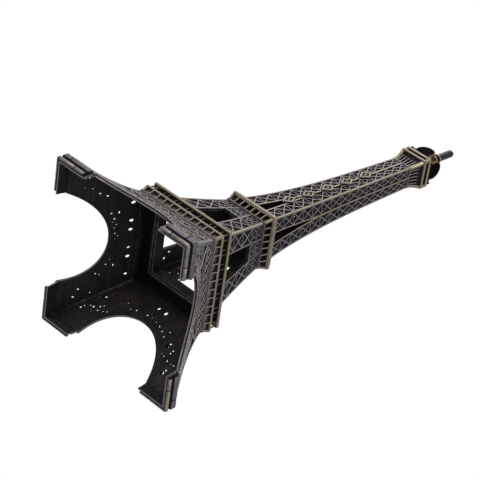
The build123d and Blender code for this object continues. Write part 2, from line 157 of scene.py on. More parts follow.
def add_camera():
    """Camera below the base and beside the front right foot, rolled so that the tower lies over."""
    azimuth, elevation, roll = (math.radians(a) for a in VIEW_TURNS)
    away = Vector((math.sin(azimuth) * math.cos(elevation), -math.cos(azimuth) * math.cos(elevation),
                   math.sin(elevation)))
    level_right = (-away).cross(Vector((0, 0, 1))).normalized()
    level_up = level_right.cross(-away)
    right = level_right * math.cos(roll) + level_up * math.sin(roll)
    up = level_up * math.cos(roll) - level_right * math.sin(roll)
    place = (Vector(VIEW_TARGET) + away * VIEW_DISTANCE) * MM
    camera = bpy.data.objects.new("camera", bpy.data.cameras.new("camera"))
    camera.matrix_world = Matrix.Translation(place) @ Matrix((right, up, away)).transposed().to_4x4()
    camera.data.lens = LENS
    camera.data.sensor_width = 36.0
    camera.data.clip_start = 0.01
    bpy.context.scene.collection.objects.link(camera)
    bpy.context.scene.camera = camera
    return right, up, away


def add_light(name, direction, size, power, colour=(1.0, 0.98, 0.96)):
    """Soft square light that faces the middle of the tower."""
    light = bpy.data.lights.new(name, "AREA")
    light.shape = "SQUARE"
    light.size = size
    light.energy = power
    light.color = colour
    item = bpy.data.objects.new(name, light)
    item.location = LIGHT_TARGET + direction.normalized() * LIGHT_DISTANCE
    item.rotation_euler = (-direction).to_track_quat("-Z", "Y").to_euler()
    item.visible_camera = False
    bpy.context.scene.collection.objects.link(item)


def add_world():
    """White surroundings; the camera sees pure white, the object is lit a little softer."""
    world = bpy.data.worlds.new("studio")
    bpy.context.scene.world = world
    world.use_nodes = True
    nodes, links = world.node_tree.nodes, world.node_tree.links
    nodes.clear()
    out = nodes.new("ShaderNodeOutputWorld")
    mix = nodes.new("ShaderNodeMixShader")
    rays = nodes.new("ShaderNodeLightPath")
    lit = nodes.new("ShaderNodeBackground")
    seen = nodes.new("ShaderNodeBackground")
    lit.inputs["Color"].default_value = (0.93, 0.96, 1.0, 1)
    lit.inputs["Strength"].default_value = 0.74
    seen.inputs["Color"].default_value = (1, 1, 1, 1)
    seen.inputs["Strength"].default_value = 1.0
    links.new(rays.outputs["Is Camera Ray"], mix.inputs[0])
    links.new(lit.outputs[0], mix.inputs[1])
    links.new(seen.outputs[0], mix.inputs[2])
    links.new(mix.outputs[0], out.inputs[0])


def add_floor():
    """Pale floor under the feet. Its underside lets light and sight through."""
    corners = [(x * FLOOR_HALF, y * FLOOR_HALF, 0) for x, y in ((-1, -1), (1, -1), (1, 1), (-1, 1))]
    mesh = bpy.data.meshes.new("floor")
    mesh.from_pydata(corners, [], [(0, 1, 2, 3)])
    floor = bpy.data.objects.new("floor", mesh)
    floor.location.z = -0.00005
    bpy.context.scene.collection.objects.link(floor)
    material = bpy.data.materials.new("floor")
    material.use_nodes = True
    nodes, links = material.node_tree.nodes, material.node_tree.links
    nodes.clear()
    out = nodes.new("ShaderNodeOutputMaterial")
    mix = nodes.new("ShaderNodeMixShader")
    side = nodes.new("ShaderNodeNewGeometry")
    top = nodes.new("ShaderNodeBsdfDiffuse")
    top.inputs["Color"].default_value = (0.86, 0.86, 0.85, 1)
    clear = nodes.new("ShaderNodeBsdfTransparent")
    links.new(side.outputs["Backfacing"], mix.inputs[0])
    links.new(top.outputs[0], mix.inputs[1])
    links.new(clear.outputs[0], mix.inputs[2])
    links.new(mix.outputs[0], out.inputs[0])
    mesh.materials.append(material)
    floor.visible_shadow = False
    floor.visible_diffuse = False
    floor.visible_glossy = False


right_of_view, up_of_view, towards_viewer = add_camera()
bpy.context.scene.view_settings.view_transform = "Standard"
add_world()
add_floor()
add_light("key", towards_viewer * 0.5 + up_of_view * 1.0 + right_of_view * 0.1, 0.6, 3.2)
add_light("side", towards_viewer * 0.5 + right_of_view * 1.0 - up_of_view * 0.3, 0.4, 3.0)
add_light("overhead", Vector((-0.4, -0.5, 1.0)), 0.7, 2.6, (1.0, 0.99, 0.97))


# ---- Materials ----
def new_material(name):
    """A material with a principled shader."""
    material = bpy.data.materials.new(name)
    material.use_nodes = True
    tree = material.node_tree
    tree.nodes.clear()
    out = tree.nodes.new("ShaderNodeOutputMaterial")
    shader = tree.nodes.new("ShaderNodeBsdfPrincipled")
    tree.links.new(shader.outputs[0], out.inputs[0])
    return material, tree, shader


def noise(tree, scale, detail=3.0, stretch=(1, 1, 1), rough=0.55):
    """Noise over the object's own coordinates; scale is in repeats per metre."""
    where = tree.nodes.new("ShaderNodeTexCoord")
    mapping = tree.nodes.new("ShaderNodeMapping")
    mapping.inputs["Scale"].default_value = stretch
    texture = tree.nodes.new("ShaderNodeTexNoise")
    texture.inputs["Scale"].default_value = scale
    texture.inputs["Detail"].default_value = detail
    texture.inputs["Roughness"].default_value = rough
    tree.links.new(where.outputs["Object"], mapping.inputs[0])
    tree.links.new(mapping.outputs[0], texture.inputs["Vector"])
    return texture.outputs["Fac"]


def math_node(tree, operation, a, b, clamp=False):
    """Arithmetic on two sockets or numbers."""
    node = tree.nodes.new("ShaderNodeMath")
    node.operation = operation
    node.use_clamp = clamp
    for socket, value in zip(node.inputs, (a, b)):
        if isinstance(value, (int, float)):
            socket.default_value = value
        else:
            tree.links.new(value, socket)
    return node.outputs[0]


def sway(tree, level, texture, amount, clamp=False):
    """A level moved up and down by a noise."""
    swing = math_node(tree, "MULTIPLY", math_node(tree, "SUBTRACT", texture, 0.5), amount)
    return math_node(tree, "ADD", level, swing, clamp)


def ramp(tree, factor, stops):
    """Colour ramp from (place, colour) stops."""
    node = tree.nodes.new("ShaderNodeValToRGB")
    elements = node.color_ramp.elements
    while len(elements) < len(stops):
        elements.new(0.5)
    for element, (place, colour) in zip(elements, stops):
        element.position = place
        element.color = (*colour, 1)
    tree.links.new(factor, node.inputs[0])
    return node.outputs[0]


def grey(value):
    """A grey as a colour."""
    return (value, value, value)


def blend_colour(tree, factor, a, b):
    """Mix of two colours, each a socket or a colour."""
    node = tree.nodes.new("ShaderNodeMix")
    node.data_type = "RGBA"
    tree.links.new(factor, node.inputs["Factor"])
    for socket, value in ((node.inputs[6], a), (node.inputs[7], b)):
        if isinstance(value, tuple):
            socket.default_value = (*value, 1)
        else:
            tree.links.new(value, socket)
    return node.outputs[2]


def add_bump(tree, shader, height, strength, distance):
    """Fine surface relief from a height socket."""
    bump = tree.nodes.new("ShaderNodeBump")
    bump.inputs["Strength"].default_value = strength
    bump.inputs["Distance"].default_value = distance
    tree.links.new(height, bump.inputs["Height"])
    tree.links.new(bump.outputs[0], shader.inputs["Normal"])


def antique_metal(name, hollow, patina, dull, bright, bias=0.0, roughness=0.42,
                  stops=(0.42, 0.78, 1.0), edge=1.0):
    """Cast metal: dark in the hollows, patinated on the faces, rubbed to brass where it stands out.
    The mesh's "rub" attribute says how far a point stands out."""
    material, tree, shader = new_material(name)
    rub = tree.nodes.new("ShaderNodeAttribute")
    rub.attribute_name = "rub"
    coarse = noise(tree, 420, 4.0)
    fine = noise(tree, 2600, 3.0)
    level = math_node(tree, "ADD", rub.outputs["Fac"], bias)
    level = sway(tree, level, coarse, 0.55)
    level = sway(tree, level, fine, 0.35, True)
    colours = zip((0.0, 0.12, *stops), (hollow, hollow, patina, dull, bright))
    colour = ramp(tree, level, list(colours))
    tree.links.new(colour, shader.inputs["Base Color"])
    shader.inputs["Metallic"].default_value = 0.9
    shader.inputs["Specular Tint"].default_value = (edge, edge, edge, 1)
    rough = ramp(tree, level, [(place, grey(roughness + more))
                               for place, more in ((0.0, 0.22), (0.5, 0.0), (1.0, -0.10))])
    tree.links.new(rough, shader.inputs["Roughness"])
    height = math_node(tree, "ADD", fine, math_node(tree, "MULTIPLY", coarse, 1.5))
    add_bump(tree, shader, height, 0.35, 0.00012)
    return material


def inner_wall(name, streaks, rust, tone):
    """Unpolished inside of a casting: nearly black, with flow streaks across it and rusty specks."""
    material, tree, shader = new_material(name)
    grain = noise(tree, 1900, 4.0, rough=0.8)
    flow = noise(tree, 1100, 2.0, stretch=(0.05, 0.05, 1))
    patches = noise(tree, 110, 4.0)
    dark = blend_colour(tree, ramp(tree, flow, [(0.4, grey(0)), (0.7, grey(streaks))]),
                        grey(0.0038 * tone), (0.0125 * tone, 0.0118 * tone, 0.0132 * tone))
    specks = ramp(tree, sway(tree, grain, patches, 0.5), [(0.54, grey(0)), (0.62, grey(rust))])
    colour = blend_colour(tree, specks, dark, (0.055, 0.036, 0.026))
    tree.links.new(colour, shader.inputs["Base Color"])
    shader.inputs["Metallic"].default_value = 0.2
    shader.inputs["Specular IOR Level"].default_value = 0.25
    tree.links.new(ramp(tree, grain, [(0.3, grey(0.5)), (0.7, grey(0.75))]), shader.inputs["Roughness"])
    add_bump(tree, shader, grain, 0.6, 0.0003 if rust > 0.5 else 0.0001)
    return material


def solder_metal():
    """Rough solder with brown flux burnt on to it."""
    material, tree, shader = new_material("solder")
    stain = noise(tree, 700, 5.0)
    grain = noise(tree, 3200, 3.0)
    colour = ramp(tree, stain, [(0.38, (0.008, 0.007, 0.007)), (0.52, (0.030, 0.018, 0.010)),
                                (0.64, (0.12, 0.065, 0.028)), (0.75, (0.05, 0.04, 0.03))])
    tree.links.new(colour, shader.inputs["Base Color"])
    shader.inputs["Metallic"].default_value = 0.5
    tree.links.new(ramp(tree, grain, [(0.3, grey(0.4)), (0.7, grey(0.7))]), shader.inputs["Roughness"])
    add_bump(tree, shader, math_node(tree, "ADD", stain, grain), 0.6, 0.0003)
    return material


HOLLOW = (0.0155, 0.0130, 0.0155)
SATIN_STEEL = (0.188, 0.170, 0.170)
BRIGHT_BRASS = (0.305, 0.240, 0.143)

LATTICE = antique_metal("lattice_patina", HOLLOW, (0.098, 0.090, 0.098), SATIN_STEEL,
                        (0.262, 0.215, 0.152), bias=-0.03, stops=(0.36, 0.64, 0.94))
STONE = antique_metal("plinth_patina", HOLLOW, (0.058, 0.054, 0.062), (0.13, 0.122, 0.128),
                      BRIGHT_BRASS, bias=-0.02)
RIM = antique_metal("rubbed_rim", HOLLOW, (0.122, 0.105, 0.088), (0.240, 0.202, 0.150),
                    BRIGHT_BRASS, bias=-0.01)
DARK = antique_metal("dark_patina", (0.003, 0.0025, 0.0028), (0.009, 0.007, 0.0065),
                     (0.085, 0.055, 0.032), (0.22, 0.145, 0.075), roughness=0.34, edge=0.15)
MAST_METAL = antique_metal("mast_patina", HOLLOW, (0.030, 0.029, 0.035), (0.070, 0.066, 0.078),
                           BRIGHT_BRASS, roughness=0.32)
SMOOTH_INSIDE = inner_wall("inside_streaked", 1.0, 0.1, 1.0)
GRAINY_INSIDE = inner_wall("inside_grainy", 0.5, 1.0, 1.5)
SOLDER = solder_metal()


# ---- Mesh tools ----
class Casting:
    """Points, faces, how far each point is rubbed, and the material of each face."""

    def __init__(self):
        self.points, self.rub, self.faces, self.slots = [], [], [], []
        self.count = 0

    def add(self, points, faces, rub, slot=0):
        """Add points and faces; rub and slot are one value for all, or one for each."""
        points = np.asarray(points, float).reshape(-1, 3)
        self.points.append(points)
        self.rub.append(np.broadcast_to(np.asarray(rub, float), (len(points),)))
        self.faces += [tuple(int(i) + self.count for i in face) for face in faces]
        self.slots += np.broadcast_to(slot, (len(faces),)).tolist()
        self.count += len(points)

    def add_turned(self, other, quarters):
        """Add another casting, turned about the axis by quarter turns."""
        points = turn_points(np.concatenate(other.points), quarters)
        self.add(points, other.faces, np.concatenate(other.rub), other.slots)

    def piece(self, name, materials, slot, replaced=(), smooth_angle=None, quarters=0):
        """Make the Blender object, on the root body, in place of the CAD nodes named."""
        points = turn_points(np.concatenate(self.points), quarters) * MM
        mesh = bpy.data.meshes.new(name)
        mesh.from_pydata(points.tolist(), [], self.faces)
        mesh.update()
        attribute = mesh.attributes.new("rub", "FLOAT", "POINT")
        attribute.data.foreach_set("value", np.concatenate(self.rub).astype(np.float32))
        for material in materials:
            mesh.materials.append(material)
        mesh.polygons.foreach_set("material_index", self.slots)
        if smooth_angle is not None:
            mesh.polygons.foreach_set("use_smooth", [True] * len(mesh.polygons))
            mesh.set_sharp_from_angle(angle=math.radians(smooth_angle))
        item = bpy.data.objects.new(name, mesh)
        bpy.context.scene.collection.objects.link(item)
        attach(item, "root")
        if replaced:
            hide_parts(*replaced)


def turn_points(points, quarters):
    """Points turned about the axis by quarter turns, from the right-hand side towards the back."""
    points = np.array(points, float)
    for _ in range(quarters % 4):
        points = np.stack([-points[:, 1], points[:, 0], points[:, 2]], -1)
    return points


def tube_faces(rows, size):
    """Faces of a tube of rows, each a ring of so many points, with both ends closed."""
    faces = [(r * size + i, r * size + (i + 1) % size, (r + 1) * size + (i + 1) % size, (r + 1) * size + i)
             for r in range(rows - 1) for i in range(size)]
    last = (rows - 1) * size
    return faces + [tuple(range(size))[::-1], tuple(range(last, last + size))]


def bezier(profile):
    """Points of a Bezier curve."""
    t = np.linspace(0, 1, 400)[:, None]
    degree = len(profile) - 1
    weights = [math.comb(degree, i) * t**i * (1 - t) ** (degree - i) for i in range(degree + 1)]
    return sum(w * np.array(p) for w, p in zip(weights, profile))


class Side:
    """The curved face of one side: u runs across it, z up, and out stands off from it."""

    def __init__(self, profile, foot=None, margin=3.5):
        curve = bezier(profile)
        if foot is not None:
            curve = np.vstack([[curve[0][0], foot], curve])
        self.levels, self.halves = curve[:, 1], curve[:, 0]
        self.margin = margin

    def half(self, z):
        return np.interp(z, self.levels, self.halves)

    def place(self, uzo):
        """Points (u, z, out) on the right-hand side, drawn in at the mitres."""
        u, z, out = np.asarray(uzo, float).T
        half = self.half(z)
        slope = (self.half(z + 0.2) - self.half(z - 0.2)) / 0.4
        length = np.sqrt(1 + slope**2)
        x = half + out / length
        inner = half - self.margin
        span = np.abs(u)
        drawn = np.where(span > inner, inner + (span - inner) * (x - inner) / (half - inner), span)
        return np.stack([x, np.sign(u) * drawn, z - out * slope / length], -1)


def ribbon(casting, side, path, width, high, low, top_rub=1.0, flat=0.55, slot=0):
    """A bar that follows a path (u, z) on a side, with soft shoulders."""
    path = np.asarray(path, float)
    along = np.gradient(path, axis=0)
    along /= np.linalg.norm(along, axis=1)[:, None]
    across = np.stack([-along[:, 1], along[:, 0]], -1)
    half = width / 2
    soft = (high - low) * 0.28
    section = [(-half, low, 0.0), (-half * 0.96, high - soft, 0.2 * top_rub), (-half * flat, high, top_rub),
               (half * flat, high, top_rub), (half * 0.96, high - soft, 0.2 * top_rub), (half, low, 0.0)]
    rows = [np.column_stack([path + across * shift, np.full(len(path), out)]) for shift, out, _ in section]
    points = side.place(np.stack(rows, 1).reshape(-1, 3))
    rubs = np.tile([rub for _, _, rub in section], len(path))
    casting.add(points, tube_faces(len(path), len(section)), rubs, slot)


def straight(a, b, step=1.2):
    """Points of a straight path from a to b."""
    count = max(2, int(math.dist(a, b) / step) + 1)
    return np.linspace(a, b, count)


def arc(radius, start, end, step=2.5):
    """Points of an arc round the arch's centre, from one angle to another, in degrees."""
    turns = np.radians(np.linspace(start, end, max(2, int(abs(end - start) / step) + 1)))
    return np.stack([radius * np.cos(turns), ARCH_CENTRE + radius * np.sin(turns)], -1)


def arc_point(radius, turn):
    """The point of an arc at one angle in degrees."""
    return arc(radius, turn, turn + 1)[0]


def inside(points, loop):
    """Which points lie inside a closed loop."""
    x, y = points[:, 0], points[:, 1]
    result = np.zeros(len(points), bool)
    for (x1, y1), (x2, y2) in zip(loop, np.roll(loop, -1, axis=0)):
        if y1 == y2:
            continue
        crosses = (y1 > y) != (y2 > y)
        result ^= crosses & (x < (x2 - x1) * (y - y1) / (y2 - y1) + x1)
    return result


def sheet(casting, side, outline, holes, front, back, spacing, face_rub=0.16, edge_rub=0.16,
          slot_back=1):
    """A wall with holes: its front at one offset from the side, its back at another."""
    loops = [np.asarray(loop, float) for loop in [outline] + list(holes)]
    low, high = loops[0].min(0), loops[0].max(0)
    columns = np.arange(low[0] + spacing / 2, high[0], spacing)
    rows = np.arange(low[1] + spacing / 2, high[1], spacing)
    grid = np.stack(np.meshgrid(columns, rows), -1).reshape(-1, 2)
    grid = grid[inside(grid, loops[0])]
    border = np.concatenate(loops)
    nearest = np.array([np.min(np.sum((border - p) ** 2, 1)) for p in grid])
    grid = grid[nearest > (0.45 * spacing) ** 2]
    for loop in loops[1:]:
        grid = grid[~inside(grid, loop)]
    edges, start = [], 0
    for loop in loops:
        edges += [(start + i, start + (i + 1) % len(loop)) for i in range(len(loop))]
        start += len(loop)
    flat = [Vector(p) for p in np.concatenate([border, grid])]
    vertices, _, triangles, _, _, _ = delaunay_2d_cdt(flat, edges, [], 0, 1e-5)
    plane = np.array([tuple(v) for v in vertices])
    triangles = np.array(triangles)
    centres = plane[triangles].mean(1)
    keep = inside(centres, loops[0])
    for loop in loops[1:]:
        keep &= ~inside(centres, loop)
    triangles = triangles[keep]
    count = len(plane)
    points = np.concatenate([side.place(np.column_stack([plane, np.full(count, depth)]))
                             for depth in (front, back)])
    used = {edge: True for a, b, c in triangles for edge in ((a, b), (b, c), (c, a))}
    rim = [edge for edge in used if (edge[1], edge[0]) not in used]
    faces_front = [tuple(t) for t in triangles]
    faces_back = [(c + count, b + count, a + count) for a, b, c in triangles]
    faces_rim = [(b, a, a + count, b + count) for a, b in rim]
    rub = np.concatenate([np.full(count, face_rub), np.zeros(count)])
    edge = len(loops[0])
    rub[:edge], rub[count:count + edge] = edge_rub, edge_rub
    slots = [0] * len(faces_front) + [slot_back] * len(faces_back) + [0] * len(faces_rim)
    casting.add(points, faces_front + faces_back + faces_rim, rub, slots)


def shrunk(polygon, margin):
    """A polygon drawn in from its sides, or None when too little is left."""
    polygon = np.asarray(polygon, float)
    middle = polygon.mean(0)
    following = np.roll(polygon, -1, axis=0)
    run = following - polygon
    reach = np.abs(run[:, 0] * (middle[1] - polygon[:, 1]) - run[:, 1] * (middle[0] - polygon[:, 0]))
    scale = 1 - margin / np.min(reach / np.linalg.norm(run, axis=1))
    if scale < 0.22:
        return None
    return middle + (polygon - middle) * scale


def roughened(polygon, rng, amount):
    """A hole as it is cast: corners cut and every point a little astray."""
    polygon = np.asarray(polygon, float)
    before, after = np.roll(polygon, 1, axis=0), np.roll(polygon, -1, axis=0)
    cut = rng.uniform(0.12, 0.3, (len(polygon), 1))
    points = np.stack([polygon + (other - polygon) * cut for other in (before, after)], 1).reshape(-1, 2)
    return points + rng.uniform(-amount, amount, points.shape)


def stepped(low, high, count, growth=1.0):
    """Levels from low to high in steps that each grow by a factor."""
    sizes = growth ** np.arange(count)
    return low + (high - low) * np.concatenate([[0], np.cumsum(sizes)]) / sizes.sum()


def cell_corners(inner, outer, low, high):
    """Corners of a lattice cell between two edges u(z)."""
    return [(inner(low), low), (outer(low), low), (outer(high), high), (inner(high), high)]


def cell_triangles(corners):
    """The four triangles that the diagonals of a cell leave."""
    a, b, c, d = (np.array(p) for p in corners)
    s = np.linalg.det(np.array([c - a, b - d]).T)
    t = np.linalg.det(np.array([b - a, b - d]).T) / s
    centre = a + (c - a) * t
    return centre, [np.array([p, q, centre]) for p, q in ((a, b), (b, c), (c, d), (d, a))]


def square_sweep(casting, profile, rubs, rounding=0.0):
    """A closed profile (half width, level) carried round the square plan, with rounded corners."""
    outermost = max(half for half, _ in profile)
    turns = np.radians(np.linspace(0, 90, 5 if rounding else 1))
    plan = []
    for quarters in range(4):
        for turn in turns:
            ring = []
            for half, level in profile:
                radius = max(0.02, rounding - (outermost - half)) if rounding else 0.0
                ring.append((half - radius + radius * math.cos(turn),
                             half - radius + radius * math.sin(turn), level))
            plan.append(turn_points(ring, quarters))
    size = len(profile)
    count = len(plan)
    faces = []
    for k in range(count):
        a, b = k * size, ((k + 1) % count) * size
        faces += [(a + i, b + i, b + (i + 1) % size, a + (i + 1) % size) for i in range(size)]
    casting.add(np.concatenate(plan), faces, np.tile(rubs, count))


def soft_ring(casting, inner, outer, low, high, chamfer=0.2, face_rub=0.45, edge_rub=1.0, inner_rub=0.1,
              rounding=0.5):
    """A square ring with rubbed outer edges: flat faces, chamfers, and a band beside each edge."""
    band = min(0.3, (high - low) * 0.22)
    profile = [(inner, low), (outer - chamfer - band, low), (outer - chamfer, low), (outer, low + chamfer),
               (outer, low + chamfer + band), (outer, high - chamfer - band), (outer, high - chamfer),
               (outer - chamfer, high), (outer - chamfer - band, high), (inner, high)]
    rubs = [inner_rub, face_rub * 0.7, edge_rub * 0.8, edge_rub, face_rub, face_rub, edge_rub, edge_rub * 0.8,
            face_rub * 0.7, inner_rub]
    square_sweep(casting, profile, rubs, rounding)


def soft_box(casting, low, high, chamfer, face_rub, edge_rub, quarters):
    """A block with chamfered, rubbed edges."""
    low, high = np.array(low, float), np.array(high, float)
    centre, half = (low + high) / 2, (high - low) / 2
    chamfer = min(chamfer, 0.35 * half.min())
    ring = ((-1, -1), (1, -1), (1, 1), (-1, 1))
    points, index = [], {}
    for axis in range(3):
        for sign in (-1, 1):
            others = [i for i in range(3) if i != axis]
            for layer, inset in ((0, chamfer), (1, chamfer + 0.35 * (half.min() - chamfer))):
                for su, sv in ring:
                    p = np.zeros(3)
                    p[axis] = sign * half[axis]
                    p[others[0]] = su * (half[others[0]] - inset)
                    p[others[1]] = sv * (half[others[1]] - inset)
                    index[axis, sign, layer, su, sv] = len(points)
                    points.append(centre + p)
    faces, rubs = [], [edge_rub if key[2] == 0 else face_rub for key in index]

    def put(face, outward):
        corners = [points[i] for i in face]
        normal = np.cross(corners[1] - corners[0], corners[2] - corners[0])
        faces.append(face if np.dot(normal, outward) > 0 else face[::-1])

    def at(axis, signs):
        rest = [i for i in range(3) if i != axis]
        return index[(axis, signs[axis], 0, signs[rest[0]], signs[rest[1]])]

    for axis in range(3):
        for sign in (-1, 1):
            outward = np.zeros(3)
            outward[axis] = sign
            put([index[(axis, sign, 1, *k)] for k in ring], outward)
            for k, n in zip(ring, ring[1:] + ring[:1]):
                put([index[(axis, sign, 0, *k)], index[(axis, sign, 0, *n)],
                     index[(axis, sign, 1, *n)], index[(axis, sign, 1, *k)]], outward)
    for a, b in ((0, 1), (0, 2), (1, 2)):
        for sa, sb in product((-1, 1), repeat=2):
            outward = np.zeros(3)
            outward[a], outward[b] = sa, sb
            near, far = ({a: sa, b: sb, 3 - a - b: end} for end in (-1, 1))
            put([at(a, near), at(b, near), at(b, far), at(a, far)], outward)
    for signs in product((-1, 1), repeat=3):
        put([at(axis, signs) for axis in range(3)], np.array(signs, float))
    casting.add(turn_points(points, quarters), faces, rubs)


def lathe(casting, profile, rubs):
    """A profile (radius, level) turned about the axis and closed at both ends."""
    segments = 40
    turns = np.linspace(0, 2 * math.pi, segments, endpoint=False)
    points = [(r * math.cos(t), r * math.sin(t), z) for r, z in profile for t in turns]
    casting.add(points, tube_faces(len(profile), segments), np.repeat(rubs, segments))


# ---- Lower stage ----
LOWER = Side(LOWER_PROFILE, foot=0.0)


def corner_chord(casting, side, low, high, width, rub=1.0, count=24, slot=0):
    """Both half chords of a side, from its mitres inwards, with the arris rubbed."""
    levels = np.linspace(low, high, count)
    for sign in (-1, 1):
        section = [(width, -0.6, 0.0), (width * 0.95, -0.12, 0.25 * rub), (width * 0.8, 0.0, 0.6 * rub),
                   (0.35, 0.0, 0.75 * rub), (0.0, -0.08, rub), (0.0, -0.6, 0.0)]
        rows = [[(sign * (side.half(z) - shift), z, out) for shift, out, _ in section] for z in levels]
        points = side.place(np.array(rows).reshape(-1, 3))
        faces = tube_faces(count, len(section))
        if sign < 0:
            faces = [face[::-1] for face in faces]
        casting.add(points, faces, np.tile([value for _, _, value in section], count), slot)


def lower_leg_edges():
    """Inner and outer edge of the braced part of a lower leg, u(z)."""
    def outer(z):
        return float(LOWER.half(z)) - 1.2

    def inner(z):
        return math.sqrt(max(0.0, ARCH_BAND[1] ** 2 - (z - ARCH_CENTRE) ** 2))
    return inner, outer


LEG_LEVELS = (8.2, 11.8, 15.4, 19.1)
SPANDREL_TOP = 23.4
LEG_SHEET = 6.5             # middle of the smooth strip at the foot of a leg
ARCH_TURNS = 36.0 + ARCH_PITCH * np.arange(18)
# Which diamonds of the straight band are open, and the share of open triangles elsewhere.
OPEN_DIAMONDS = {"right": (-3, -1, 0, 2, 4), "back": (0, -1), "left": (4, 2, 1, -1, -2, -4),
                 "front": (-4, -2, 1, 3)}
OPEN_LEGS = {"right": 0.35, "back": 0.45, "left": 0.22, "front": 0.35}
OPEN_ARCH = {"right": 0.7, "back": 1.0, "left": 0.35, "front": 0.6}
LARGE_HOLE = 1.15           # size of the larger openings in one leg of the back


def small_triangle(place, size, turn):
    """A small triangle round a place, pointing along a direction in degrees."""
    angles = np.radians([turn, turn + 120, turn + 240])
    return np.array(place) + size * np.stack([np.cos(angles), np.sin(angles)], -1)


def diamond(u, z, size, tall=1.0):
    """A diamond-shaped opening round a place."""
    return [(u - size, z), (u, z - size * tall), (u + size, z), (u, z + size * tall)]


def lower_holes(name, rng):
    """Small openings of a lower side, as uneven as the casting left them."""
    holes = []
    for i in OPEN_DIAMONDS[name]:
        size = rng.uniform(0.65, 1.0)
        holes.append(roughened(diamond(BAND_PITCH * i, sum(BAND) / 2, size, 1.1), rng, 0.08))
    inner_row, outer_row = ARCH_BAND[0] + 0.75, ARCH_BAND[1] - 0.85
    for turn in ARCH_TURNS:
        for radius, step, aim, share in ((outer_row, 0.0, 180, 0.75), (inner_row, ARCH_HALF_PITCH, 0, 0.4)):
            if 42 < turn < 138 and rng.random() < OPEN_ARCH[name] * share:
                hole = small_triangle(arc_point(radius, turn + step), rng.uniform(0.35, 0.72), turn + aim)
                holes.append(roughened(hole, rng, 0.06))
    for sign in (-1, 1):
        if rng.random() < 0.95:
            hole = small_triangle((sign * 11.3, 21.5), rng.uniform(0.8, 1.1), 90)
            holes.append(roughened(hole, rng, 0.08))
        for low, high, column, first, last in leg_cells():
            centre, triangles = cell_triangles(cell_corners(first, last, low, high))
            large = name == "back" and sign < 0 and column == 0
            for k, triangle in enumerate(triangles):
                place = triangle.mean(0)
                turn = math.degrees(math.atan2(*(centre - place)[::-1]))
                size = LARGE_HOLE if large and k == 3 else rng.uniform(0.4, 0.8)
                if size == LARGE_HOLE or rng.random() < OPEN_LEGS[name]:
                    holes.append(roughened(small_triangle(place, size, turn) * (sign, 1), rng, 0.05))
    return holes


def leg_cells():
    """Lattice cells of a lower leg, two across: low and high level, column, and edges u(z)."""
    inner, outer = lower_leg_edges()

    def middle(z):
        return (inner(z) + outer(z)) / 2
    return [(low, high, *cell) for low, high in zip(LEG_LEVELS, LEG_LEVELS[1:])
            for cell in ((0, inner, middle), (1, middle, outer))]


def add_cross(casting, side, corners, width, high, low, rub=1.0):
    """The two diagonals of a lattice cell."""
    a, b, c, d = corners
    ribbon(casting, side, straight(a, c), width, high, low, rub)
    ribbon(casting, side, straight(b, d), width, high - 0.04, low, rub * 0.9)


def mirrored(points):
    """Points (u, z) on the other half of their side."""
    return [(-u, z) for u, z in points]


def edge_of(side, levels):
    """Points (u, z) of a side's mitre at some levels."""
    return [(float(side.half(z)), z) for z in levels]


def lower_outline():
    """Outline of a lower side between its mitres, with the arch."""
    levels = np.concatenate([[0.0, 2.7], np.linspace(PLINTH_HEIGHT, MOULDING_LOW, 24)])
    right = edge_of(LOWER, levels)
    left = mirrored(right[::-1])
    top = [(u, MOULDING_LOW) for u in np.linspace(right[-1][0], left[0][0], 20)[1:-1]]
    turn = math.degrees(math.asin(-ARCH_CENTRE / ARCH_RADIUS))
    arch = arc(ARCH_RADIUS, 180 - turn, turn, 2.0)
    return right + top + left + [tuple(p) for p in arch]


def wall_behind(casting, half, low, high, margin, front, back, spacing, face_rub):
    """Upright wall behind the brackets of a gallery."""
    band = Side([(half, low - 0.3), (half, high)], margin=margin)
    right = [(half, low - 0.25), (half, high)]
    sheet(casting, band, right + mirrored(right[::-1]), [], front, back, spacing, face_rub=face_rub)


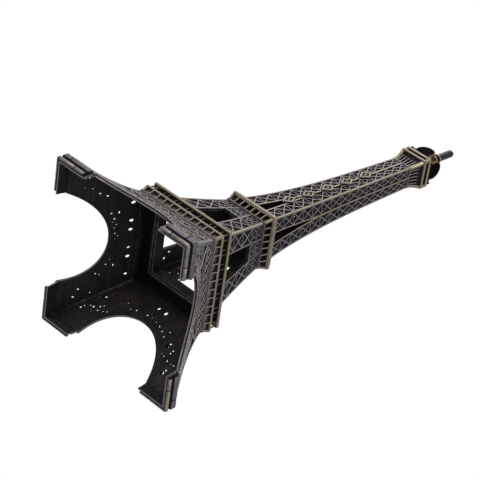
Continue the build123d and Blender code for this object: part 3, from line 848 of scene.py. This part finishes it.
def make_lower_side(name, quarters, inside_material):
    """One arched side: a thin cast sheet with small holes, and bars, rims and rails that stand out."""
    rng = np.random.default_rng(11 + quarters)
    casting = Casting()
    sheet(casting, LOWER, lower_outline(), lower_holes(name, rng), -RELIEF, -LOWER_WALL, 1.5, face_rub=0.0,
          edge_rub=0.62)
    corner_chord(casting, LOWER, PLINTH_HEIGHT - 0.4, MOULDING_LOW, 1.8, 0.66)
    # rim of the arch, and the outer edge of the curved band
    rim_turn = math.degrees(math.asin((PLINTH_HEIGHT - 0.6 - ARCH_CENTRE) / (ARCH_RADIUS + 0.6)))
    ribbon(casting, LOWER, arc(ARCH_RADIUS + 0.62, rim_turn, 180 - rim_turn), 1.25, 0.12, BAR_ROOT, 0.85)
    ribbon(casting, LOWER, arc(ARCH_BAND[1], 15, 165), 0.75, -0.02, BAR_ROOT, 0.7)
    inner, outer = ARCH_BAND
    for turn in ARCH_TURNS[:-1]:
        start, end = arc_point(inner, turn), arc_point(inner, turn + ARCH_PITCH)
        peak = arc_point(outer, turn + ARCH_HALF_PITCH)
        ribbon(casting, LOWER, np.array([start, peak]), 0.58, -0.05, BAR_ROOT, 0.82)
        ribbon(casting, LOWER, np.array([peak, end]), 0.52, -0.08, BAR_ROOT, 0.78)
    # straight band
    for level, width in ((BAND[0] - 0.9, 0.4), (BAND[0], 0.6), (BAND[1], 0.6)):
        reach = float(LOWER.half(level)) - 1.0
        ribbon(casting, LOWER, straight((-reach, level), (reach, level), 4), width, -0.02, BAR_ROOT, 0.7)
    for i in range(-5, 5):
        u = BAND_PITCH * i
        limit = float(LOWER.half(BAND[1])) - 0.9
        left, right = max(u, -limit), min(u + BAND_PITCH, limit)
        cell = [(left, BAND[0]), (right, BAND[0]), (right, BAND[1]), (left, BAND[1])]
        add_cross(casting, LOWER, cell, 0.62, -0.05, BAR_ROOT, 0.82)
    # braced legs and spandrels
    edge_in, edge_out = lower_leg_edges()
    for cells in (list, mirrored):
        for low, high, _, first, last in leg_cells():
            corners = cells(cell_corners(first, last, low, high))
            add_cross(casting, LOWER, corners, 0.6, -0.03, BAR_ROOT, 0.86)
        for level in LEG_LEVELS[1:]:
            line = cells([(edge_in(level), level), (edge_out(level), level)])
            ribbon(casting, LOWER, straight(*line), 0.55, -0.12, BAR_ROOT, 0.6)
        low, high = LEG_LEVELS[-1], SPANDREL_TOP
        spandrel = cells([(edge_in(low) + 0.4, low), (edge_out(low), low), (edge_out(high), high),
                          (5.0, high)])
        add_cross(casting, LOWER, spandrel, 0.7, -0.03, BAR_ROOT, 0.82)
        level = LEG_SHEET
        smooth = cells([(edge_in(level) - 0.4, level), (edge_out(level) + 0.2, level)])
        ribbon(casting, LOWER, straight(*smooth), 3.3, -0.03, BAR_ROOT, 0.5, 0.85)
    wall_behind(casting, FIRST_RECESS, MOULDING_LOW, LOWER_TOP, 2.0, 0.5, -1.2, 2.4, 0.5)
    casting.piece(f"lower_side_{name}", [LATTICE, inside_material], "lattice_casting",
                  [f"lower_panel_{name}"], quarters=quarters)


# ---- Plinths ----
def plinth_point(inset, level, along):
    """A point of the L-shaped plinth: its inset from the outer face, and its place along the arms."""
    rounding = 1.0
    reach = abs(along)
    if reach >= rounding:
        x, y = BASE_HALF - inset, BASE_HALF - reach
    else:
        turn = math.radians(45 * (1 - reach / rounding))
        radius = rounding - inset
        x = BASE_HALF - rounding + radius * math.cos(turn)
        y = BASE_HALF - rounding + radius * math.sin(turn)
    return (x, y, level) if along < 0 else (y, x, level)


def course(casting, section, rubs, start, end):
    """One stone of a course: a section (inset, level) carried along the arms, with soft ends."""
    soft = 0.22
    corner = [a for a in np.linspace(-1, 1, 9) if start + soft < a < end - soft]
    places = [start, start + soft] + corner + [end - soft, end]
    section = np.array(section)
    middle = section.mean(0)
    rows, values = [], []
    for i, along in enumerate(places):
        at_end = i in (0, len(places) - 1)
        ring = middle + (section - middle) * (0.72 if at_end else 1.0)
        rows += [plinth_point(inset, level, along) for inset, level in ring]
        values += [rub * (0.55 if at_end else 1.0) for rub in rubs]
    casting.add(rows, tube_faces(len(places), len(section)), values)


def make_plinth(name, quarters):
    """L-shaped plinth: a rubbed lower course, a deep groove, and a smooth upper course."""
    casting = Casting()
    back = BASE_HALF - FOOT_HALF + 0.04
    low, high = COURSES
    lower = [(back, 0.0), (0.5, 0.0), (0.16, 0.12), (0.0, 0.42), (0.0, low - 0.45), (0.14, low - 0.14),
             (0.42, low), (back, low)]
    lower_rub = [0.6, 0.75, 0.95, 1.0, 0.8, 0.8, 0.3, 0.0]
    upper = [(back, high), (0.4, high), (0.12, high + 0.25), (0.1, high + 0.5), (0.1, PLINTH_HEIGHT - 0.5),
             (0.3, PLINTH_HEIGHT - 0.12), (0.6, PLINTH_HEIGHT), (back, PLINTH_HEIGHT)]
    upper_rub = [0.0, 0.15, 0.5, 0.62, 0.6, 0.55, 0.5, 0.4]
    gap = 0.13
    for section, rubs, joint in ((lower, lower_rub, JOINTS[0]), (upper, upper_rub, JOINTS[1])):
        marks = (-PLINTH_ARM, -joint, joint, PLINTH_ARM)
        for start, end in zip(marks, marks[1:]):
            start += gap if start > -PLINTH_ARM else 0
            end -= gap if end < PLINTH_ARM else 0
            course(casting, section, rubs, start, end)
    bed = [(back, 0.1), (0.75, 0.1), (0.75, PLINTH_HEIGHT - 0.3), (back, PLINTH_HEIGHT - 0.3)]
    course(casting, bed, [0.0] * 4, 0.1 - PLINTH_ARM, PLINTH_ARM - 0.1)
    casting.piece(f"stone_plinth_{name}", [STONE], "plinth_casting", [f"plinth_{name}"], smooth_angle=50,
                  quarters=quarters)


# ---- Galleries ----
def bracket(casting, foot, head, level_low, level_high, place, recess, quarters):
    """A leaning bracket, standing on the moulding and carrying the rail."""
    half = 0.52 / 2
    section = [(recess - 0.1, level_low), (foot - 0.1, level_low), (foot + 0.06, level_low + 0.12),
               (head, level_high), (recess - 0.1, level_high)]
    rubs = [0.0, 0.4, 0.8, 0.85, 0.0]
    points = [(x, place + sign * half * (0.8 if i in (2, 3) else 1.0), z)
              for sign in (-1, 1) for i, (x, z) in enumerate(section)]
    casting.add(turn_points(points, quarters), tube_faces(2, len(section)), np.tile(rubs, 2))


def corner_bracket(casting, foot, head, low, high, width, quarters):
    """A bracket on the corner, thicker than the rest."""
    def ring(reach, level):
        return [(reach - width, reach - width, level), (reach, reach - width, level), (reach, reach, level),
                (reach - width, reach, level)]
    points = ring(foot, low) + ring((foot + head) / 2 - 0.05, (low + high) / 2) + ring(head, high)
    casting.add(turn_points(points, quarters), tube_faces(3, 4), [0.2, 0.7, 0.9, 0.7] * 3)


def bracket_rows(casting, cells, half, head, low, high, recess, corner):
    """Brackets along all four sides, and a thicker one on each corner (foot, head, width)."""
    for quarters in range(4):
        for i in range(1, cells):
            bracket(casting, half, head, low, high, 2 * half * (i / cells - 0.5), recess, quarters)
        corner_bracket(casting, corner[0], corner[1], low, high, corner[2], quarters)


def make_first_gallery():
    """Moulding, eleven cells of brackets a side, and the rail."""
    casting = Casting()
    half, head, cells = 19.55, 20.25, 11
    inner, low, rail_low = FIRST_RECESS - 0.05, MOULDING_LOW, RAIL_TOP - 0.9
    soft_ring(casting, inner, half + 0.15, low - 0.05, low + 0.42, 0.12, 0.3, 0.6)
    soft_ring(casting, inner, half + 0.3, low + 0.52, low + 1.0, 0.14, 0.35, 0.7)
    soft_ring(casting, inner, RAIL_HALF, rail_low, RAIL_TOP, 0.25, 0.6, 0.95, rounding=0.8)
    bracket_rows(casting, cells, half, head, low + 0.95, rail_low + 0.1, FIRST_RECESS,
                 (half + 0.02, head, 0.95))
    casting.piece("gallery_brackets_first", [RIM], "rubbed_edge", ["first_gallery"])


def make_first_deck():
    """Tray of the first deck, with a double ridge on the lip that is turned down round its opening."""
    casting = Casting()
    inner, outer, low = DECK_OPENING, DECK_OPENING + DECK_LIP, DECK_LOW
    lip = [(0.0, 0.3), (0.12, 0.06), (0.3, 0.0), (0.7, 0.05), (0.95, 0.4), (1.25, 0.4), (1.5, 0.05)]
    profile = [(inner + out, low + up) for out, up in lip]
    profile += [(outer - 0.3, low), (outer, low + 0.3), (outer, LOWER_TOP), (FIRST_RECESS, LOWER_TOP),
                (FIRST_RECESS, MIDDLE_FOOT), (inner, MIDDLE_FOOT), (inner, low + 0.7)]
    square_sweep(casting, profile, [0.1, 0.26, 0.38, 0.26, 0.12, 0.12, 0.26, 0.36, 0.1] + [0.0] * 5)
    casting.piece("deck_tray", [RIM], "dark_casting", ["first_deck"])


def make_first_rim():
    """Cornice over the first gallery on pairs of small posts."""
    casting = Casting()
    pitch, gap, half = 6.1, 2.1, 0.23
    soft_ring(casting, FIRST_RECESS, FIRST_RIM_HALF, FIRST_RIM_TOP - 1.2, FIRST_RIM_TOP, 0.3, 0.55, 0.95,
              0.4, 0.9)
    for quarters in range(4):
        for i in range(7):
            for side in (-1, 1):
                place = pitch * (i - 3) + side * gap / 2
                soft_box(casting, (FIRST_RECESS + 0.4, place - half, RAIL_TOP - 0.05),
                         (FIRST_RECESS + 0.95, place + half, FIRST_RIM_TOP - 1.15), 0.08, 0.2, 0.45, quarters)
    casting.piece("cornice_first", [RIM], "rubbed_edge", ["first_rim"])


def make_second_gallery():
    """Smaller moulding and brackets, seven cells a side."""
    casting = Casting()
    half, head, cells = 9.95, 10.75, 7
    inner, low, rail_low = SECOND_RECESS - 0.05, SECOND_LOW, SECOND_RIM_LOW - 0.6
    soft_ring(casting, inner, half + 0.2, low - 0.05, low + 0.75, 0.15, 0.25, 0.5)
    soft_ring(casting, inner, head + 0.2, rail_low, SECOND_RIM_LOW + 0.02, 0.12, 0.35, 0.7)
    bracket_rows(casting, cells, half, head, low + 0.7, rail_low + 0.05, SECOND_RECESS,
                 (half + 0.05, head + 0.05, 0.85))
    casting.piece("gallery_brackets_second", [RIM], "rubbed_edge", ["second_gallery"])


def make_second_rims():
    """Cornice of the second gallery, and the parapet stepped in above it."""
    casting = Casting()
    soft_ring(casting, 6.5, SECOND_RIM_HALF, SECOND_RIM_LOW, SECOND_RIM_TOP, 0.28, 0.55, 0.95, 0.2, 0.8)
    casting.piece("cornice_second", [RIM], "rubbed_edge", ["second_rim"])
    casting = Casting()
    soft_ring(casting, SHAFT_FOOT_HALF, PARAPET_HALF, SECOND_RIM_TOP, PARAPET_TOP, 0.2, 0.5, 0.9, 0.2, 0.6)
    casting.piece("parapet_second", [RIM], "rubbed_edge", ["second_parapet"])


# ---- Middle stage ----
MIDDLE = Side(MIDDLE_PROFILE, margin=2.8)
MIDDLE_LEVELS = np.array([35.6, 38.3, 44.2, 50.1, HEADER_LOW])
HEADER_HOLES = ((-6.3, 61.3), (-6.9, 57.8), (0.1, 61.3), (6.1, 61.2), (6.8, 57.9), (1.9, 58.4))


def window_half(z):
    """Half width of the opening between the middle legs."""
    foot, top, top_level = WINDOW
    return foot + (top - foot) * (z - MIDDLE_FOOT) / (top_level - MIDDLE_FOOT)


def pierced(inner, outer, levels, rng, margins, share, uneven):
    """Openings in a share of the triangles between the bars of both strips of a side."""
    holes = []
    for low, high in zip(levels, levels[1:]):
        _, triangles = cell_triangles(cell_corners(inner, outer, low, high))
        for triangle in triangles:
            for sign in (-1, 1):
                hole = shrunk(triangle, rng.uniform(*margins))
                if hole is not None and rng.random() < share:
                    holes.append(roughened(hole * (sign, 1), rng, uneven))
    return holes


def brace(casting, side, inner, outer, levels, cross, bar):
    """Crosses and level bars in both strips of a side; cross and bar are width, front, back and rub."""
    for cells in (list, mirrored):
        for low, high in zip(levels, levels[1:]):
            add_cross(casting, side, cells(cell_corners(inner, outer, low, high)), *cross)
            line = straight(*cells([(inner(high), high), (outer(high), high)]))
            ribbon(casting, side, line, *bar)


def make_middle_side(name, quarters):
    """Two braced legs under a textured header."""
    rng = np.random.default_rng(31 + quarters)
    casting = Casting()

    def outer(z):
        return float(MIDDLE.half(z)) - 1.0

    def inner(z):
        return window_half(z) + 0.8

    holes = pierced(inner, outer, MIDDLE_LEVELS, rng, (0.62, 0.86), 0.8, 0.05)
    for u, z in HEADER_HOLES:
        holes.append(roughened(diamond(u, z, rng.uniform(0.3, 0.5)), rng, 0.05))
    right = edge_of(MIDDLE, np.linspace(MIDDLE_FOOT, SECOND_LOW, 20))
    left = mirrored(right[::-1])
    top = [(u, SECOND_LOW) for u in np.linspace(right[-1][0], left[0][0], 12)[1:-1]]
    window = [(window_half(z), z) for z in np.linspace(MIDDLE_FOOT, WINDOW[2], 12)]
    outline = right + top + left + mirrored(window) + window[::-1]
    sheet(casting, MIDDLE, outline, holes, -RELIEF, -MIDDLE_WALL, 1.4, face_rub=0.06, edge_rub=0.2)
    corner_chord(casting, MIDDLE, MIDDLE_FOOT, SECOND_LOW, 1.1, 0.76, slot=2)
    for sign in (-1, 1):
        chord = [(sign * (window_half(z) + 0.45), z) for z in np.linspace(MIDDLE_FOOT, SECOND_LOW, 16)]
        ribbon(casting, MIDDLE, chord, 1.0, 0.0, BAR_ROOT, 0.52, slot=2)
    brace(casting, MIDDLE, inner, outer, MIDDLE_LEVELS, (0.72, -0.06, BAR_ROOT, 0.58),
          (0.5, -0.12, BAR_ROOT, 0.55))
    # header: fine diagonals between its chords
    reach, level = window_half(HEADER_LOW), HEADER_LOW + 0.3
    ribbon(casting, MIDDLE, straight((-reach, level), (reach, level)), 0.6, -0.05, BAR_ROOT, 0.6)
    rows = (HEADER_LOW + 0.4, (HEADER_LOW + SECOND_LOW) / 2, SECOND_LOW - 0.2)
    for low, high in zip(rows, rows[1:]):
        for near, far, count in ((-window_half(low), window_half(low), 3), (inner(low) + 0.2, outer(low), 2),
                                 (-outer(low), -inner(low) - 0.2, 2)):
            marks = np.linspace(near, far, count + 1)
            for a, b in zip(marks, marks[1:]):
                cell = [(a, low), (b, low), (b, high), (a, high)]
                add_cross(casting, MIDDLE, cell, 0.5, -0.14, BAR_ROOT, 0.5)
        reach = outer(high)
        ribbon(casting, MIDDLE, straight((-reach, high), (reach, high), 3), 0.42, -0.12, BAR_ROOT, 0.5)
    wall_behind(casting, SECOND_RECESS, SECOND_LOW, SECOND_RIM_LOW, 1.6, 0.0, -1.1, 2.0, 0.16)
    casting.piece(f"middle_side_{name}", [LATTICE, GRAINY_INSIDE, RIM], "lattice_casting",
                  [f"middle_panel_{name}"], quarters=quarters)


# ---- Shaft ----
SHAFT = Side(SHAFT_PROFILE, margin=1.8)
SHAFT_LEVELS = stepped(70.3, 147.9, 15, 0.983)


def slot_half(z):
    """Half width of the slot between the strips of the shaft."""
    foot, low, closing = SLOT
    return foot * max(0.0, 1 - (z - low) / (closing - low))


def make_shaft_side(name, quarters, slot):
    """Two braced strips that meet where the slot between them closes."""
    rng = np.random.default_rng(51 + quarters)
    casting = Casting()

    def outer(z):
        return float(SHAFT.half(z)) - 0.85

    def inner(z):
        return slot_half(z) + 0.75

    holes = [np.array([(-slot[0], slot[1]), (slot[0], slot[1]), (0, slot[2])])]
    holes += pierced(inner, outer, SHAFT_LEVELS, rng, (0.36, 0.55), 0.06, 0.03)
    right = edge_of(SHAFT, np.linspace(SHAFT_FOOT, SHAFT_TOP, 60))
    outline = right + mirrored(right[::-1])
    sheet(casting, SHAFT, outline, holes, -0.45, -SHAFT_WALL, 1.3, face_rub=0.04)
    corner_chord(casting, SHAFT, SHAFT_FOOT, SHAFT_TOP, 0.85, 0.8, 60, 2)
    for sign in (-1, 1):
        chord = [(sign * (slot_half(z) + 0.38), z) for z in np.linspace(SLOT[1] - 0.3, SLOT[2] + 2, 16)]
        ribbon(casting, SHAFT, chord, 0.72, 0.02, SHAFT_BAR_ROOT, 0.85, slot=2)
    centre = [(0.0, z) for z in np.linspace(SLOT[2] - 1, SHAFT_TOP, 40)]
    ribbon(casting, SHAFT, centre, 0.9, 0.04, SHAFT_BAR_ROOT, 0.85, slot=2)
    brace(casting, SHAFT, inner, outer, SHAFT_LEVELS, (0.52, -0.05, SHAFT_BAR_ROOT, 0.72),
          (0.45, -0.1, SHAFT_BAR_ROOT, 0.55))
    casting.piece(f"shaft_side_{name}", [LATTICE, GRAINY_INSIDE, RIM], "lattice_casting",
                  [f"shaft_panel_{name}"], quarters=quarters)


def make_ornaments():
    """Five plain lozenges with a sunk middle, on the front of the shaft."""
    casting = Casting()
    (half_u, half_z), proud = ORNAMENT_HALF, 0.62
    for level in ORNAMENT_LEVELS:
        rings = ((1.0, -0.3, 0.0), (1.0, 0.35, 0.3), (0.9, proud, 0.62), (0.6, proud, 0.62), (0.5, 0.2, 0.0),
                 (0.3, 0.2, 0.0), (0.2, 0.55, 0.6))
        outline = [(half_u, 0), (half_u * 0.5, half_z * 0.5), (0, half_z), (-half_u * 0.5, half_z * 0.5),
                   (-half_u, 0), (-half_u * 0.5, -half_z * 0.5), (0, -half_z), (half_u * 0.5, -half_z * 0.5)]
        points = SHAFT.place([(u * scale, level + z * scale, out)
                              for scale, out, _ in rings for u, z in outline])
        size = len(outline)
        casting.add(points, tube_faces(len(rings), size), np.repeat([rub for _, _, rub in rings], size))
    casting.piece("front_lozenges", [RIM], "rubbed_edge", ["front_ornaments"], quarters=SIDES["front"])


# ---- Capital, cabin, crown and mast ----
FLARE = [(4.7, SHAFT_TOP), (4.6, SHAFT_TOP + 2.6), (CAPITAL_HALF, CAPITAL_TOP - 0.5)]


def make_capital():
    """Flared capital: five ribs a side between rubbed corner edges."""
    side = Side(FLARE, margin=1.5)
    casting = Casting()
    levels = np.linspace(SHAFT_TOP, CAPITAL_TOP - 0.5, 12)
    for quarters in range(4):
        one = Casting()
        right = edge_of(side, levels)
        outline = right + mirrored(right[::-1])
        sheet(one, side, outline, [], -0.75, -1.6, 1.0, face_rub=0.0, edge_rub=0.0, slot_back=0)
        corner_chord(one, side, SHAFT_TOP, CAPITAL_TOP - 0.5, 1.45, 1.0, 14)
        for i in range(5):
            share = (i - 2) / 3.2
            rib = [(share * (float(side.half(z)) - 0.3), z)
                   for z in np.linspace(SHAFT_TOP, CAPITAL_TOP - 2.2, 9)]
            ribbon(one, side, rib, 0.5, 0.02, -0.8, 0.72, 0.7, slot=1)
        ribbon(one, side, straight((-4.2, SHAFT_TOP + 0.25), (4.2, SHAFT_TOP + 0.25)), 0.5, 0.03, -0.8, 0.75)
        casting.add_turned(one, quarters)
    square_sweep(casting, [(0.01, CAPITAL_TOP - 0.5), (CAPITAL_HALF - 0.6, CAPITAL_TOP - 0.5),
                           (CAPITAL_HALF - 0.6, CAPITAL_TOP), (0.01, CAPITAL_TOP)], [0.0, 0.1, 0.1, 0.0])
    casting.piece("fluted_capital", [RIM, LATTICE], "lattice_casting", ["capital"])


def make_cabin():
    """Two rims, and between them a dark groove that stops short of the corners."""
    sill, walls, cornice = Casting(), Casting(), Casting()
    soft_ring(sill, 0.01, CABIN_HALF, CAPITAL_TOP, GROOVE_LOW, 0.25, 0.55, 1.0, 0.2, 0.7)
    sill.piece("cabin_sill", [RIM], "rubbed_edge", ["cabin_lower_rim"])
    soft_ring(walls, 0.01, CABIN_HALF - 0.9, GROOVE_LOW, GROOVE_HIGH, 0.05, 0.0, 0.0, 0.0, 0.0)
    reach, width = CABIN_HALF - 0.15, 1.3
    for quarters in range(4):
        soft_box(walls, (reach - width, reach - width, GROOVE_LOW - 0.02), (reach, reach, GROOVE_HIGH + 0.02),
                 0.25, 0.6, 0.8, quarters)
    walls.piece("cabin_walls", [RIM], "lattice_casting", ["cabin_body"])
    soft_ring(cornice, 0.01, CABIN_HALF - 0.05, GROOVE_HIGH, CABIN_TOP, 0.2, 0.6, 0.95, 0.2, 0.7)
    cornice.piece("cabin_cornice", [RIM], "rubbed_edge", ["cabin_upper_rim"])


def gable_outline():
    """Half of a gable's outline from its foot to its top: a strip with a round disc on it."""
    foot_half, foot_height = GABLE_FOOT
    level = CABIN_TOP + foot_height
    join = math.degrees(math.asin((level - GABLE_CENTRE) / GABLE_RADIUS))
    turns = np.radians(np.linspace(join, 90, 15))
    strip = [(foot_half, CABIN_TOP), (foot_half, level - 0.4), (foot_half - 0.3, level)]
    return strip + [(GABLE_RADIUS * math.cos(t), GABLE_CENTRE + GABLE_RADIUS * math.sin(t)) for t in turns]


def make_gable(name, quarters):
    """Thin disc on a strip, with a rubbed edge."""
    half = gable_outline()
    outline = np.array(half + mirrored(half[-2::-1]))
    middle = np.array((0, GABLE_CENTRE - 1.0))
    gable = Casting()
    rings = ((1.0, GABLE_OUT - GABLE_THICKNESS, 0.8), (1.0, GABLE_OUT - 0.15, 1.0), (0.95, GABLE_OUT, 1.0),
             (0.88, GABLE_OUT, 0.6), (0.84, GABLE_OUT - 0.15, 0.0))
    points = []
    for scale, out, _ in rings:
        ring = middle + (outline - middle) * scale
        points += [(out, u, max(CABIN_TOP, z)) for u, z in ring]
    rubs = np.repeat([rub for _, _, rub in rings], len(outline))
    gable.add(points, tube_faces(len(rings), len(outline)), rubs)
    gable.piece(f"gable_{name}", [DARK], "dark_casting", [f"crown_gable_{name}"], quarters=quarters)


def make_crown():
    """Corner posts, four round gables, and the low vaults that cross behind them."""
    posts = Casting()
    place, width = reach_of("crown_posts"), 1.0
    for quarters in range(4):
        soft_box(posts, (place - width, place - width, CABIN_TOP), (place, place, CABIN_TOP + 2.0),
                 0.3, 0.25, 0.8, quarters)
    posts.piece("crown_corner_posts", [DARK], "dark_casting", ["crown_posts"])
    for name, quarters in SIDES.items():
        make_gable(name, quarters)
    vault = Casting()
    reach = GABLE_OUT - GABLE_THICKNESS
    centre = CABIN_TOP + 0.9
    start = math.degrees(math.asin((CABIN_TOP - centre) / VAULT_RADIUS))
    turns = np.radians(np.linspace(start, 180 - start, 33))
    count = len(turns)
    for quarters in (0, 1):
        points = [(x, VAULT_RADIUS * math.cos(t), centre + VAULT_RADIUS * math.sin(t))
                  for x in (-reach, reach) for t in turns]
        faces = [(i, i + 1, i + 1 + count, i + count) for i in range(count - 1)]
        faces += [tuple(range(count))[::-1], tuple(range(count, 2 * count)),
                  (0, count, 2 * count - 1, count - 1)]
        vault.add(turn_points(points, quarters), faces, 0.1)
    vault.piece("crossing_vaults", [DARK], "dark_casting", ["crown_vault"], smooth_angle=35)


COLLAR_RINGS = ((2.1, 1.1), (1.5, 1.5), (1.9, 0.7), (1.5, 1.9), (1.9, 0.7), (1.5, 1.5), (1.9, 0.7))


def make_mast():
    """Stack of turned rings, and the round-ended mast on it."""
    collar, mast = Casting(), Casting()
    level, profile, rubs = VAULT_TOP - 0.3, [], []
    soft = 0.14
    for radius, height in COLLAR_RINGS:
        profile += [(radius - soft, level), (radius, level + soft), (radius, level + height - soft),
                    (radius - soft, level + height)]
        rubs += [0.5, 1.0, 1.0, 0.5] if radius > 1.6 else [0.0, 0.1, 0.1, 0.0]
        level += height
    lathe(collar, profile, rubs)
    collar.piece("ringed_collar", [RIM], "mast_metal", ["mast_collar"], smooth_angle=40)
    profile = [(MAST_RADIUS, COLLAR_TOP), (MAST_RADIUS, MAST_TOP - MAST_RADIUS)]
    profile += [(MAST_RADIUS * math.cos(t), MAST_TOP - MAST_RADIUS * (1 - math.sin(t)))
                for t in np.radians((15, 30, 45, 60, 75, 86))]
    lathe(mast, profile, [0.36] * len(profile))
    mast.piece("round_mast", [MAST_METAL], "mast_metal", ["mast"], smooth_angle=40)


# ---- Solder in the inner corners ----
def make_solder(name, side, wall, low, high, size, node):
    """An uneven fillet of solder down each inner corner."""
    casting = Casting()
    for quarters in range(4):
        rng = np.random.default_rng(71 + quarters)
        levels = np.linspace(low, high, 46)
        swell = size * (0.75 + 0.45 * np.interp(levels, np.linspace(low, high, 16), rng.random(16)))
        reach = side.half(levels) - wall
        points = []
        for z, r, s in zip(levels, reach, swell):
            points += [(r, r, z), (r + 0.02, r - s, z), (r - s * 0.42, r - s * 0.42, z), (r - s, r + 0.02, z)]
        faces = [face[::-1] for face in tube_faces(len(levels), 4)]
        casting.add(turn_points(points, quarters), faces, 0.3)
    casting.piece(name, [SOLDER], "solder", [node], smooth_angle=60)


# ---- Build ----
for side_name, quarter in SIDES.items():
    make_lower_side(side_name, quarter, SMOOTH_INSIDE if side_name == "left" else GRAINY_INSIDE)
    make_middle_side(side_name, quarter)
    make_shaft_side(side_name, quarter, SHORT_SLOT if side_name in ("back", "left") else SLOT)
for corner_name, quarter in CORNERS.items():
    make_plinth(corner_name, quarter)
make_first_gallery()
make_first_deck()
make_first_rim()
make_second_gallery()
make_second_rims()
make_ornaments()
make_capital()
make_cabin()
make_crown()
make_mast()
make_solder("solder_seams_lower", LOWER, LOWER_WALL, 3.0, MOULDING_LOW, 0.9, "solder_lower")
make_solder("solder_seams_middle", MIDDLE, MIDDLE_WALL, MIDDLE_FOOT + 0.3, SECOND_LOW - 0.2, 0.8,
            "solder_middle")
